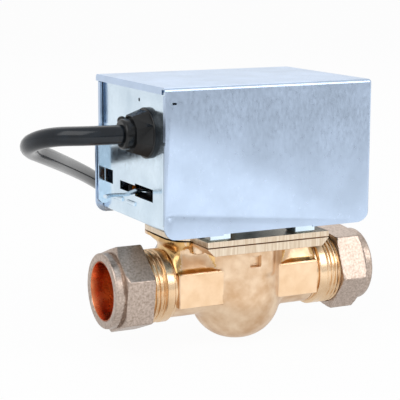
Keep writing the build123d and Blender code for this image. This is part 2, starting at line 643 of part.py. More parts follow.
def motor_can():
    """The motor's drawn can, with a rolled rim where it meets the gearbox and a domed end."""
    low = GEARBOX_TOP
    profile = [
        (0, low), (MOTOR_R, low), (MOTOR_R, low + 1.6), (MOTOR_R - 0.8, low + 2.2),
        (MOTOR_R - 0.8, MOTOR_TOP - 2.5), (MOTOR_R - 1.5, MOTOR_TOP - 0.8), (MOTOR_R - 3.4, MOTOR_TOP),
        (7.0, MOTOR_TOP), (6.0, MOTOR_TOP + 1.0), (0, MOTOR_TOP + 1.0),
    ]
    return turned_z(profile, *MOTOR_AXIS)


parts["base_frame"] = base_frame()
foot_seat = PLATE_TOP + SHEET + 0.02
parts["base_screws"] = Compound([pan_screw(x, y, foot_seat, 1.45, 3.0, 2.9, 1.9) for x, y in FOOT_XY])
parts["motor_posts"] = Compound([post(x, y) for x, y in POST_XY])
parts["motor_plate"] = motor_plate()
plate_top = MOTOR_PLATE_Z[1]
parts["motor_plate_screws"] = Compound([pan_screw(x, y, plate_top, 1.25, 5.0, 2.6, 1.8) for x, y in POST_XY])
parts["motor_gearbox"] = gearbox()
parts["motor_can"] = motor_can()
ear_spots = [polar(EAR_R, angle, MOTOR_AXIS) for angle in EAR_ANGLES]
ear_screws = [pan_screw(x, y, plate_top + EAR_T, 1.25, 4.0, 2.5, 1.7) for x, y in ear_spots]
parts["motor_screws"] = Compound(ear_screws)


# Return spring
def return_spring():
    """A close-wound extension spring, its turns drawn as rings, with a straight leg at each end."""
    z = SPRING_Z
    a = Vector(*SPRING_SECTOR, z)
    b = Vector(SPRING_FRAME[0], FRAME_Y - 3.4, z)
    along = (b - a).normalized()
    coil_r, wire_r, turns = 1.9, 0.45, 10
    length = turns * 2 * wire_r
    slack = ((b - a).length - length) / 2
    outline = [(coil_r - wire_r, 0)]
    for k in range(turns):
        for bulge in (-0.7, 0.0, 0.7):
            outline.append((coil_r + wire_r * (1 - abs(bulge)), (2 * k + 1 + bulge) * wire_r))
    outline.append((coil_r - wire_r, length))
    place = Plane(origin=a + along * slack, z_dir=along).location
    coil = revolve(Plane.XZ * make_face(Polyline(*outline, close=True)), Axis.Z)
    leg_a = Pos(coil_r, 0, -slack / 2 + 0.3) * Cylinder(wire_r, slack)
    leg_b = Pos(coil_r, 0, length + slack / 2 - 0.5) * Cylinder(wire_r, slack - 0.6)
    return place * (coil + leg_a + leg_b)


parts["return_spring"] = return_spring()


# Manual lever
def strip(points, width):
    """A flat strip's plan along straight runs with rounded joints."""
    plan = None
    for (x0, y0), (x1, y1) in zip(points, points[1:]):
        length = hypot(x1 - x0, y1 - y0)
        run = SlotCenterToCenter(length, width)
        run = Pos((x0 + x1) / 2, (y0 + y1) / 2) * Rot(0, 0, degrees(atan2(y1 - y0, x1 - x0))) * run
        plan = run if plan is None else plan + run
    return plan


def manual_lever():
    """The strip that opens the valve by hand: tail pin, pivot eye, and a gently waved end outside the wall."""
    tail = polar(LEVER_TAIL, TAIL_ANGLE, LEVER_PIVOT)
    bend = (END_WALL_X + 3.0, LEVER_WALL_Y)
    low, high = LEVER_Z - LEVER_T / 2, LEVER_Z + LEVER_T / 2
    plan = strip([tail, LEVER_PIVOT, bend], LEVER_WIDTH) + Pos(*LEVER_PIVOT) * Circle(3.4)
    lever = slab(plan, low, high)
    wave = [(bend[0], 0), (END_WALL_X - 1.5, 0.1), (-47.0, -0.8), (-50.5, -0.8), (LEVER_TIP_X, -1.2)]
    top = Spline(*[(x, high + dz) for x, dz in wave])
    under = Spline(*[(x, low + dz) for x, dz in wave])
    face = make_face([top, Line(top @ 1, under @ 1), under, Line(under @ 0, top @ 0)])
    blade = Pos(0, LEVER_WALL_Y, 0) * extrude(Plane.XZ * face, LEVER_WIDTH / 2, both=True)
    lever = lever + blade + rod(LINK_PIN_R, GEAR_Z[0] - 0.6, low + 0.1, *tail)
    return lever - rod(1.5 + 0.05, low - 1, high + 1, *LEVER_PIVOT)


def lever_pivot():
    low, high = LEVER_Z - LEVER_T / 2 - 0.1, LEVER_Z + LEVER_T / 2 + 0.1
    profile = [
        (0, FLOOR_Z - SHEET), (1.25, FLOOR_Z - SHEET), (1.25, FLOOR_Z), (2.6, FLOOR_Z), (2.6, low),
        (1.5, low), (1.5, high), (2.8, high), (2.4, high + 0.9), (0, high + 0.9),
    ]
    return turned_z(profile, *LEVER_PIVOT)


parts["manual_lever"] = manual_lever()
parts["lever_pivot"] = lever_pivot()


# Micro-switch
def switch_body():
    case = block(SWITCH_X, SWITCH_Y, SWITCH_Z)
    case = fillet(case.edges().filter_by(Axis.Z), 0.8)
    x, y = SWITCH_HINGE
    lug = block((SWITCH_X[1] - 1, x + 1.4), (y - 1.4, y + 1.4), (SWITCH_Z[0], GEAR_Z[0] - 0.7))
    case = case + fillet(lug.edges().filter_by(Axis.Z), 0.6) + rod(0.7, GEAR_Z[0] - 1, GEAR_Z[1] + 0.6, x, y)
    for hx, hy in SWITCH_HOLES:
        case = case - rod(1.35, SWITCH_Z[0] - 1, SWITCH_Z[1] + 1, hx, hy)
    for y in TERMINAL_Y:
        slit = (TERMINAL_Z - 0.05, TERMINAL_Z + 0.75)
        case = case - block((SWITCH_X[0] - 1, SWITCH_X[0] + 2), (y - 1.25, y + 1.25), slit)
    return case


def switch_terminals():
    blades = []
    for y in TERMINAL_Y:
        thickness = (TERMINAL_Z, TERMINAL_Z + 0.7)
        blade = block((SWITCH_X[0] - 4.2, SWITCH_X[0] + 1.9), (y - 1.2, y + 1.2), thickness)
        blades.append(blade - rod(0.6, TERMINAL_Z - 1, TERMINAL_Z + 2, SWITCH_X[0] - 2.6, y))
    return Compound(blades)


def switch_lever():
    """The switch's leaf: a hinge barrel, a thin blade and the rounded nose that rides on the cam."""
    low, high = GEAR_Z[0] - 0.5, GEAR_Z[1] + 0.5
    hinge, nose = SWITCH_HINGE, NOSE_XY
    leaf_end = (hinge[0] + 0.2, nose[1])
    plan = strip([hinge, leaf_end], 0.6) + strip([leaf_end, nose], 1.2)
    plan = plan + Pos(*nose) * Circle(NOSE_R) + Pos(*hinge) * Circle(1.4)
    return slab(plan, low, high) - rod(0.7 + RUN_FIT, low - 1, high + 1, *hinge)


parts["switch_body"] = switch_body()
parts["switch_terminals"] = switch_terminals()
parts["switch_lever"] = switch_lever()
switch_top = SWITCH_Z[1]
parts["switch_screws"] = Compound(
    [pan_screw(x, y, switch_top, 1.2, switch_top - FLOOR_Z + 1.0, 2.2, 1.4) for x, y in SWITCH_HOLES]
)
tag_plan = Pos(*EARTH_XY) * Circle(3.3) + Pos(EARTH_XY[0], EARTH_XY[1] + 4.5) * Rectangle(2.8, 5.5)
parts["earth_tag"] = slab(tag_plan, FLOOR_Z + 0.01, FLOOR_Z + 0.8) - rod(1.35, FLOOR_Z - 1, FLOOR_Z + 2, *EARTH_XY)
parts["earth_screw"] = pan_screw(*EARTH_XY, FLOOR_Z + 0.8, 1.25, 2.6, 2.6, 1.7)


# Cable gland
GLAND_X = (-53.2, -49.7, -43.9)


def cable_gland():
    """A strain-relief bush: flat base, eight-sided taper, round collar, and a threaded neck inside."""
    base = rod_x(9.5, GLAND_X[2], END_WALL_X - 0.02)
    base = fillet(edges_at(base, Axis.X, GLAND_X[2]), 0.5)
    wide = Plane(origin=(GLAND_X[2] + 0.1, 0, 0), x_dir=(0, 1, 0), z_dir=(-1, 0, 0))
    slim = Plane(origin=(GLAND_X[1], 0, 0), x_dir=(0, 1, 0), z_dir=(-1, 0, 0))
    eight = 1 / cos(pi / 8)
    taper = loft([wide * (Rot(0, 0, 22.5) * RegularPolygon(8.6 * eight, 8)),
                  slim * (Rot(0, 0, 22.5) * RegularPolygon(6.7 * eight, 8))])
    collar = rod_x(5.7, GLAND_X[0], GLAND_X[1] + 0.2)
    collar = fillet(edges_at(collar, Axis.X, GLAND_X[0]), 1.0)
    nub = Pos((GLAND_X[0] + GLAND_X[1]) / 2 + 0.3, 3.6, 4.6) * Sphere(1.7)
    neck = rod_x(GLAND_NECK_R, END_WALL_X - 0.1, END_WALL_X + 6.2)
    gland = base + taper + collar + nub + neck
    gland = gland - rod_x(CABLE_R + 0.04, GLAND_X[0] - 2, END_WALL_X + 8)
    return Pos(0, GLAND_Y, GLAND_Z) * gland


def gland_nut():
    flats = Plane.YZ * RegularPolygon(9.5 / cos(pi / 6), 6)
    ring = Pos(END_WALL_X + SHEET + 0.02, 0, 0) * extrude(flats, 3.2, dir=(1, 0, 0))
    ring = ring - rod_x(GLAND_NECK_R + 0.05, END_WALL_X, END_WALL_X + 8)
    return Pos(0, GLAND_Y, GLAND_Z) * ring


parts["cable_gland"] = cable_gland()
parts["gland_nut"] = gland_nut()


# Cable: five cores in a round sheath, from inside the head to a coil close behind the valve
COIL_XY = (54.0, 88.0)
COIL_R = 36.0
COIL_BAND = 7.6
TIE_T = 0.6
TIE_GAP = 0.12
FLOOR = BOWL_BOTTOM
COIL_Z = FLOOR + COIL_BAND + TIE_T + TIE_GAP
SHEATH_START = -34.0
CABLE_ROUTE = [
    (SHEATH_START, GLAND_Y, GLAND_Z), (-63, GLAND_Y, GLAND_Z), (-77.4, 0.6, 60.3), (-80, 19, 54.3),
    (-60, 46, 45.5), (-40, 76, 36.5), (-18, 104, 26), (2, 124, 14), (22, 134, 2), (42, 132, -8),
    (60, 124.5, -13),
]
TAIL_Z = FLOOR + CABLE_R + 0.05
TAIL_ROUTE = [(79.5, 62.5, TAIL_Z), (67.8, 53.2, TAIL_Z), (43.8, 39.7, TAIL_Z)]

cable, cable_path, cable_radii = tube(CABLE_ROUTE, CABLE_R)
parts["cable"] = cable
print("cable radii", [round(r, 1) for r in cable_radii], "length", round(cable_path.length, 1),
      "volume share", round(cable.volume / (pi * CABLE_R**2 * cable_path.length), 4))


def cable_coil():
    """The outer shape of the coiled length: a flat ring with rounded edges."""
    section = RectangleRounded(2 * COIL_BAND, 2 * COIL_BAND, 3.5)
    ring = revolve(Plane.XZ * (Pos(COIL_R, 0) * section), Axis.Z)
    return Pos(*COIL_XY, COIL_Z) * ring


parts["cable_coil"] = cable_coil()
parts["cable_tail"] = tube(TAIL_ROUTE, CABLE_R)[0]


def cable_tie():
    """A soft strip round the coil's bundle, twisted shut on top."""
    inner_w = 2 * (COIL_BAND + TIE_GAP)
    outer = RectangleRounded(inner_w + 2 * TIE_T, inner_w + 2 * TIE_T, 4.1)
    band = extrude(Plane.XZ * (Pos(COIL_R, 0) * (outer - RectangleRounded(inner_w, inner_w, 3.5))), 2.0, both=True)
    knot = Pos(COIL_R, 0, COIL_BAND + TIE_GAP + TIE_T + 0.8) * Rot(0, 90, 0) * Cylinder(0.9, 9)
    return Pos(*COIL_XY, COIL_Z) * Rot(0, 0, 200) * (band + knot)


parts["cable_tie"] = cable_tie()

# Inner ends of the five cores, from the sheath's cut end to what each one feeds
CORE_R = 0.8
CORE_RING = 2.0
CAN_R = MOTOR_R - 0.8
TAG_X = SWITCH_X[0] - 2.8


def can_side(angle, z, out=0.1):
    """A spot on the motor can's side, or that far out from it."""
    return (*polar(CAN_R + out, angle, MOTOR_AXIS), z)


CORES = {
    "blue_core": (90, [(-24, -9, 64), can_side(196, 62, 7.2), can_side(196, 62)]),
    "brown_core": (162, [(-24, -14.5, 61.5), can_side(215, 59, 8.4), can_side(215, 59)]),
    "grey_core": (18, [(-28, -4, 58), (-31, 8, 48), (TAG_X, 18, 39), (TAG_X, 19.0, TERMINAL_Z + 0.8)]),
    "orange_core": (306, [(-29, -8, 54), (-32.5, 4, 46), (TAG_X, 14, 38.5), (TAG_X, 15.3, TERMINAL_Z + 0.8)]),
    "green_yellow_core": (234, [(-30, -14, 52), (-33.5, -18, 40), (-34.5, -18.5, FLOOR_Z + 0.9)]),
}
tail_end = Vector(*TAIL_ROUTE[-1])
tail_way = (tail_end - Vector(*TAIL_ROUTE[-2])).normalized()
tail_side = Vector(-tail_way.Y, tail_way.X, 0)
for order, (name, (around, stops)) in enumerate(CORES.items()):
    side, lift = CORE_RING * cos(radians(around)), CORE_RING * sin(radians(around))
    start = (SHEATH_START, GLAND_Y + side, GLAND_Z + lift)
    lead = (SHEATH_START + 4, start[1], start[2])
    parts[name] = tube([start, lead] + stops, CORE_R, 0.42)[0]
    root = tail_end + tail_side * side + Vector(0, 0, lift)
    tip = root + tail_way * (12 - order) + tail_side * (side**3 * 0.65) + Vector(0, 0, -lift * 0.6)
    parts[name.replace("core", "tail")] = tube([root, root + tail_way * 3, tip], CORE_R, 0.42)[0]


# Cover
def corner_cut(x, z, radius, way):
    """What rounding takes off a side wall's lower corner: a square less a quarter disc."""
    square = Pos(x + way * radius / 2, z + radius / 2) * Rectangle(radius, radius)
    face = square - Pos(x + way * radius, z + radius) * Circle(radius)
    return extrude(Plane.XZ * face, 6, both=True)


def cover():
    """A folded steel cover, open below and at the wall's end, with rolled edges and pressed snap dimples."""
    t = COVER_T
    outer = block(COVER_X, (-COVER_Y, COVER_Y), COVER_Z)
    outer = fillet(outer.edges().filter_by(Axis.X).group_by(Axis.Z)[-1], 1.4)
    closed = [e for e in edges_at(outer, Axis.X, COVER_X[1]) if e.center().Z > COVER_Z[0] + 1]
    outer = fillet(closed, 1.4)
    inner = block((COVER_X[0] - 1, COVER_X[1] - t), (-COVER_Y + t, COVER_Y - t), (COVER_Z[0] - 1, COVER_Z[1] - t))
    shell = outer - inner
    lip_z = (COVER_Z[1] - TOP_LIP, COVER_Z[1] - t / 2)
    shell = shell + block((COVER_X[0], COVER_X[0] + t), (-COVER_Y + 3.2, COVER_Y - t), lip_z)
    for sign, (upper, lower) in ((-1, FRONT_EDGE), (1, BACK_EDGE)):
        y = sorted((sign * COVER_Y, sign * (COVER_Y - t)))
        apron = block((lower, COVER_X[0] + 2), y, (COVER_Z[0], LIP_Z))
        apron = chamfer(apron.edges().filter_by(Axis.Y).group_by(Axis.X)[0].sort_by(Axis.Z)[-1], 0.8 * (upper - lower))
        shell = shell + apron
        if upper > COVER_X[0]:
            shell = shell - block((COVER_X[0] - 1, upper), (y[0] - 1, y[1] + 1), (LIP_Z, lip_z[0]))
        roll_y = sorted((sign * (COVER_Y - 2.0), sign * (COVER_Y - 0.3)))
        shell = shell + block((upper, upper + t), roll_y, (LIP_Z + 1, lip_z[0] - 0.5))
        side = Pos(0, sign * COVER_Y, 0)
        shell = shell - side * corner_cut(lower, COVER_Z[0], CORNER_R[0], 1)
        shell = shell - side * corner_cut(COVER_X[1], COVER_Z[0], CORNER_R[1], -1)
        press = Pos(DIMPLE_XZ[0], sign * (COVER_Y + DIMPLE_R - DIMPLE_DEPTH), DIMPLE_XZ[1])
        bump = press * Sphere(DIMPLE_R + t) & block(COVER_X, (-COVER_Y, COVER_Y), COVER_Z)
        shell = shell + bump - press * Sphere(DIMPLE_R)
    notch = block(COVER_STEP, (-50, 50), (COVER_Z[0] - 1, COVER_Z[0] + 0.5))
    mark = Pos(COVER_X[0] + 3.3, -COVER_Y, COVER_Z[1] - 5.7) * Rot(90, 0, 0)
    return shell - notch - extrude(mark * SlotCenterToCenter(1.6, 0.8), 3, both=True)


parts["cover"] = cover()

for name, shape in parts.items():
    export_step(Pos(SOCKET_MOUTH, 0, 0) * shape, f"parts/{name}.step")
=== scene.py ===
# %% [markdown]
# # A motorised zone valve
# A brass two-port valve with a compression nut at each end carries a folded steel actuator head.
# The solid model already has every part at its real size and place. This lesson dresses it: it gives
# each part its finish, and makes the few shapes that solids draw badly, such as the forged body's
# soft blends, the screw threads and the flexible lead.

import json
from math import cos, pi, radians

import bmesh
import bpy
import numpy as np
from mathutils import Matrix, Vector


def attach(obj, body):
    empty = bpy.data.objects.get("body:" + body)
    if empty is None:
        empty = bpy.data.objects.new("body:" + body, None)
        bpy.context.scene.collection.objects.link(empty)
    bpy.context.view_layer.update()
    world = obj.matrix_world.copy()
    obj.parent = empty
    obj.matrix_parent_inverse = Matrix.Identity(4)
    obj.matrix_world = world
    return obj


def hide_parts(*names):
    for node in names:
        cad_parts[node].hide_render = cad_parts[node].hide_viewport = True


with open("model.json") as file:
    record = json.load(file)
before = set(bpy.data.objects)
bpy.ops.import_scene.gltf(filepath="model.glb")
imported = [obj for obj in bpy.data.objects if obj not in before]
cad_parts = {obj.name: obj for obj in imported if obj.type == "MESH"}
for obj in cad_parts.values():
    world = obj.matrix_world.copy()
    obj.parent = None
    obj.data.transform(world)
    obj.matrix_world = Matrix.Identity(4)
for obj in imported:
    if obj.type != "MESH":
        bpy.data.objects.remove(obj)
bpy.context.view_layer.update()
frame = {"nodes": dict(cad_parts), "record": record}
MM = 0.001
PORT = 45.8
print("parts in the frame:", len(frame["nodes"]))

# %% [markdown]
# The drawing of this valve is about the middle of its pipe run, while the frame starts at the mouth of
# the inlet's socket. One small function takes a point in millimetres about the middle to metres in the
# frame, so that every later size can be read straight off the drawing.

# %% From drawing millimetres to the frame
def placed(points):
    """Points in millimetres about the body's centre, as metres in the frame: x + 45.8, then / 1000."""
    return (np.asarray(points, float) + [PORT, 0, 0]) * MM


print("centre of the body in the frame:", placed([0, 0, 0]))

# %% [markdown]
# The camera stands to the left of the front and a little above, about half a metre away, with a long
# lens, so the head's edges run almost parallel. Its place comes from the drawing's own edges, and the
# frame is square.

# %% Camera
CAMERA_PLACE = (-252.7, -471.5, 127.8)
CAMERA_TARGET = (-14.89, 0.0, 31.94)
CAMERA_ROLL = 0.186
FOCAL_PIXELS = 1381.9
PICTURE = 400
SENSOR = 36.0

lens = bpy.data.cameras.new("camera")
lens.sensor_width = SENSOR
lens.lens = FOCAL_PIXELS * SENSOR / PICTURE
lens.clip_start = 0.05
camera = bpy.data.objects.new("camera", lens)
bpy.context.scene.collection.objects.link(camera)
stand, target = (Vector(placed(p)) for p in (CAMERA_PLACE, CAMERA_TARGET))
turn = (target - stand).to_track_quat("-Z", "Y").to_matrix().to_4x4()
camera.matrix_world = Matrix.Translation(stand) @ turn @ Matrix.Rotation(radians(CAMERA_ROLL), 4, "Z")
bpy.context.scene.camera = camera
bpy.context.scene.view_settings.view_transform = "Standard"
print("lens in millimetres:", round(lens.lens, 1))

# %% [markdown]
# Colours are written as the hex values that a screen shows. Blender mixes light in linear values, so
# one function turns the first into the second. A second small function adds a node with its settings
# and links, which keeps each finish short enough to read.

# %% Two helpers for colours and nodes
def linear(code):
    """A colour such as #c8a070 in linear light: c/12.92 below 0.04045, else ((c + 0.055)/1.055)^2.4."""
    srgb = np.array([int(code[i:i + 2], 16) for i in (1, 3, 5)]) / 255
    light = np.where(srgb <= 0.04045, srgb / 12.92, ((srgb + 0.055) / 1.055) ** 2.4)
    return (*light, 1.0)


def add(tree, kind, inputs=None, **settings):
    """Adds one node, sets its properties, and gives each named input a value or another node's output."""
    node = tree.nodes.new(kind)
    for name, value in settings.items():
        setattr(node, name, value)
    for name, value in (inputs or {}).items():
        if isinstance(value, bpy.types.NodeSocket):
            tree.links.new(value, node.inputs[name])
        else:
            node.inputs[name].default_value = value
    return node


print("white in linear light:", linear("#ffffff"))

# %% [markdown]
# The studio is plain: a pale floor, a white surround and soft lamps. The surround is white to the
# camera and to reflections, and gives a lower, even light to the shapes themselves, so that colours
# come out as they are written. To the camera the floor is an even white. To reflections it glows with
# a painted ramp: brightest near the valve, darker right under it as a painted shadow, falling off in
# front of it and levelled far to the left. So the upper part of the head's front mirrors something
# darker than its lower part.

# %% Floor and surround
FLOOR_Z = -24.2
SURROUND_FILL = 0.55
SURROUND_MIRRORED = 0.86
FLOOR_WHITE = 0.95
# Painted reflection: the floor's glow as reflections see it. It is scaled and set along Y in mm, with a dip under the
# valve as a painted shadow, and levelled to one value far to the left.
PAINTED_REFLECTION_LEVEL = 1.5
PAINTED_REFLECTION_STOPS = [(-1000, 0.14), (-620, 0.26), (-450, 0.42), (-280, 0.98), (-70, 0.84), (-25, 0.62), (40, 0.56), (170, 0.7)]
PAINTED_REFLECTION_LEFT = (-420.0, -140.0, 0.66)

corners = placed([(-4000, -4000, FLOOR_Z), (4000, -4000, FLOOR_Z), (4000, 6000, FLOOR_Z), (-4000, 6000, FLOOR_Z)])
floor_mesh = bpy.data.meshes.new("floor")
floor_mesh.from_pydata([list(p) for p in corners], [], [(0, 1, 2, 3)])
floor = bpy.data.objects.new("floor", floor_mesh)
bpy.context.scene.collection.objects.link(floor)

paper = bpy.data.materials.new("white paper sweep, painted reflection ramp")
paper.use_nodes = True
tree = paper.node_tree
tree.nodes.clear()
where = add(tree, "ShaderNodeTexCoord")
axes = add(tree, "ShaderNodeSeparateXYZ", {"Vector": where.outputs["Object"]})
span = (PAINTED_REFLECTION_STOPS[0][0] * MM, PAINTED_REFLECTION_STOPS[-1][0] * MM)
along = add(tree, "ShaderNodeMapRange", {"Value": axes.outputs["Y"], "From Min": span[0], "From Max": span[1]})
ramp = add(tree, "ShaderNodeValToRGB", {"Fac": along.outputs[0]})
while len(ramp.color_ramp.elements) < len(PAINTED_REFLECTION_STOPS):
    ramp.color_ramp.elements.new(0.5)
for element, (y, light) in zip(ramp.color_ramp.elements, PAINTED_REFLECTION_STOPS):
    element.position = (y * MM - span[0]) / (span[1] - span[0])
    element.color = (light, light, light, 1)
leftward = add(tree, "ShaderNodeMapRange", {"Value": axes.outputs["X"], "From Min": PAINTED_REFLECTION_LEFT[0] * MM,
                                            "From Max": PAINTED_REFLECTION_LEFT[1] * MM})
mirror = add(tree, "ShaderNodeMix", {0: leftward.outputs[0], 2: PAINTED_REFLECTION_LEFT[2], 3: ramp.outputs["Color"]})
scaled = add(tree, "ShaderNodeMath", {0: mirror.outputs[0], 1: PAINTED_REFLECTION_LEVEL}, operation="MULTIPLY")
seen = add(tree, "ShaderNodeLightPath")
strength = add(tree, "ShaderNodeMix", {0: seen.outputs["Is Camera Ray"], 2: scaled.outputs[0], 3: 1.0})
matt = add(tree, "ShaderNodeBsdfDiffuse", {"Color": linear("#f4f5f7")})
glow = add(tree, "ShaderNodeEmission", {"Color": linear("#ffffff"), "Strength": strength.outputs[0]})
shiny = add(tree, "ShaderNodeMath", {0: seen.outputs["Is Camera Ray"], 1: seen.outputs["Is Glossy Ray"]},
            operation="MAXIMUM")
share = add(tree, "ShaderNodeMath", {0: shiny.outputs[0], 1: FLOOR_WHITE}, operation="MULTIPLY")
both = add(tree, "ShaderNodeMixShader", {0: share.outputs[0], 1: matt.outputs[0], 2: glow.outputs[0]})
add(tree, "ShaderNodeOutputMaterial", {"Surface": both.outputs[0]})
floor.data.materials.append(paper)

world = bpy.data.worlds.new("studio surround")
bpy.context.scene.world = world
world.use_nodes = True
tree = world.node_tree
tree.nodes.clear()
seen = add(tree, "ShaderNodeLightPath")
shiny = add(tree, "ShaderNodeMath", {0: seen.outputs["Is Camera Ray"], 1: seen.outputs["Is Glossy Ray"]},
            operation="MAXIMUM")
shown = add(tree, "ShaderNodeMath", {0: shiny.outputs[0], 1: seen.outputs["Is Transmission Ray"]},
            operation="MAXIMUM")
level = add(tree, "ShaderNodeMapRange", {"Value": shown.outputs[0], "To Min": SURROUND_FILL, "To Max": SURROUND_MIRRORED})
sight = add(tree, "ShaderNodeMix", {0: seen.outputs["Is Camera Ray"], 2: level.outputs[0], 3: 1.0})
sky = add(tree, "ShaderNodeBackground", {"Color": linear("#ffffff"), "Strength": sight.outputs[0]})
add(tree, "ShaderNodeOutputWorld", {"Surface": sky.outputs[0]})
print("floor at z =", FLOOR_Z, "mm")

# %% [markdown]
# Three large soft lamps stand round the valve: the strongest high on the left, which brightens the
# top of the head and its end wall, a weaker one in front on the right, and a low one behind that
# lights the rims. Lamps this large give metal wide, soft bands of light.

# %% Lamps
LAMPS = {
    "key lamp": ((-700, -450, 800), 0.9, 5.0),
    "front lamp": ((650, -860, 640), 0.6, 3.4),
    "rear lamp": ((300, 900, 900), 0.9, 2.0),
}
for name, (place, width, power) in LAMPS.items():
    lamp = bpy.data.lights.new(name, "AREA")
    lamp.shape = "SQUARE"
    lamp.size = width
    lamp.energy = power
    stand = bpy.data.objects.new(name, lamp)
    bpy.context.scene.collection.objects.link(stand)
    spot = Vector(placed(place))
    aim = Vector(placed([0, 0, 25]))
    stand.matrix_world = Matrix.Translation(spot) @ (aim - spot).to_track_quat("-Z", "Y").to_matrix().to_4x4()
    print(name, "watts:", power)

# %% [markdown]
# The flexible lead is a round black sheath, 7.2 mm thick and a metre long. It leaves the gland
# straight, bends back round the head's corner and goes down behind the valve, where the rest lies in
# a neat coil. It is one smooth spline, and the points below are its handles, from the gland on. The
# coil's handles stand on circles, two turns above two, a cable's thickness apart.

# %% Route of the lead
CABLE_R = 3.6
LEAD_ROUTE = [
    (-49.0, -11.4, 61.1), (-63, -11.4, 61.1), (-77.4, 0.6, 60.3), (-80, 19, 54.3), (-60, 46, 45.5),
    (-40, 76, 36.5), (-18, 104, 26), (2, 124, 14), (22, 134, 2), (42, 132, -8),
]
TAIL_END = [(67.8, 53.2, -20.55), (43.8, 39.7, -20.55)]
COIL_MIDDLE = (54.0, 88.0)
COIL_RADIUS = 36.0
COIL_STEP = 28.2
COIL_START, COIL_SWEEP = 80.0, 1205.0

swept = np.linspace(0, COIL_SWEEP, round(COIL_SWEEP / COIL_STEP) + 1)
shift = np.interp(swept, [0, 330, 390, 700, 760, 1050, 1110, 1300], [3.7, 3.7, -3.7, -3.7, -3.7, -3.7, 3.7, 3.7])
height = np.interp(swept, [0, 690, 770, 1300], [-12.4, -12.4, -20.0, -20.0])
reach = (COIL_RADIUS + shift) / cos(radians(COIL_STEP / 2))
angle = np.radians(COIL_START - swept)
coil = np.stack([COIL_MIDDLE[0] + reach * np.cos(angle), COIL_MIDDLE[1] + reach * np.sin(angle), height], 1)
lead_points = placed(np.vstack([LEAD_ROUTE, coil, TAIL_END]))
print("handles of the lead:", len(lead_points))

# %% The lead as one spline
def round_cord(name, points, radius):
    """A round cord along one quadratic spline whose handles are the points, open at both ends."""
    curve = bpy.data.curves.new(name, "CURVE")
    curve.dimensions = "3D"
    curve.bevel_depth = radius
    curve.bevel_resolution = 6
    curve.resolution_u = 10
    curve.use_fill_caps = True
    spline = curve.splines.new("NURBS")
    spline.points.add(len(points) - 1)
    spline.points.foreach_set("co", np.hstack([points, np.ones((len(points), 1))]).ravel())
    spline.order_u = 3
    spline.use_endpoint_u = True
    cord = bpy.data.objects.new(name, curve)
    bpy.context.scene.collection.objects.link(cord)
    return cord


lead = round_cord("lead_sheath", lead_points, CABLE_R * MM)
print("lead thickness in mm:", 2 * CABLE_R)

# %% [markdown]
# The body is a forging, so its shapes run into each other with soft fillets. It is drawn as a distance
# field: each plain shape gives, for any point, how far outside it the point lies, and a smooth minimum
# of two such distances joins their shapes with a fillet. The surface is where the distance is zero.

# %% Distances and the fillets that join them
def smooth_min(a, b, fillet):
    """Two distances joined with a fillet: min(a, b) - h^2 f / 4, with h = max(f - |a - b|, 0) / f."""
    h = np.maximum(fillet - np.abs(a - b), 0) / fillet
    return np.minimum(a, b) - h * h * fillet / 4


def rounded(sides, radius):
    """Distance from a shape whose sides' distances are given, its outer edges rounded to that radius."""
    sides = [side + radius for side in sides]
    outside = np.sqrt(sum(np.maximum(side, 0) ** 2 for side in sides))
    inside = sides[0]
    for side in sides[1:]:
        inside = np.maximum(inside, side)
    return outside + np.minimum(inside, 0) - radius


def box(point, low, high, radius=0.05):
    """Distance from a block between two corners: each side is |v - middle| - half."""
    return rounded([np.abs(v - (a + b) / 2) - (b - a) / 2 for v, a, b in zip(point, low, high)], radius)


print("two touching shapes, 2 mm fillet:", smooth_min(np.float64(0), np.float64(0), 2.0))

# %% The forging as one distance
BOWL_R, BOWL_X, BOWL_ROUND, BOWL_BACK, BOWL_BOTTOM, WALL = 17.9, 0.7, 16.5, 6.0, -24.2, 3.4
NECK_R, NECK_END = 13.0, 30.5
FLANGE_X, FLANGE_Y, FLANGE_Z, FLANGE_BEVEL = (-24.9, 27.6), 26.5, (15.2, 18.8), 3.0


def pot(point, radius, floor_z, roundness, back=0.0):
    """Distance from a round-bottomed pot, its plan a circle drawn out back along Y, open upwards without end."""
    x, y, z = point
    plan = np.hypot(x, y - np.clip(y, 0, back))
    return rounded([plan - radius, floor_z - z], roundness)


def lobes(point):
    """The flange's rounded lobes: a plan rectangle with 11 mm corners, from z 17 up."""
    x, y, z = point
    plan = rounded([np.abs(x) - 31.0, np.abs(y - 6.0) - 19.0], 11.0)
    return rounded([plan, 17.0 - z, z - 19.8], 0.5)


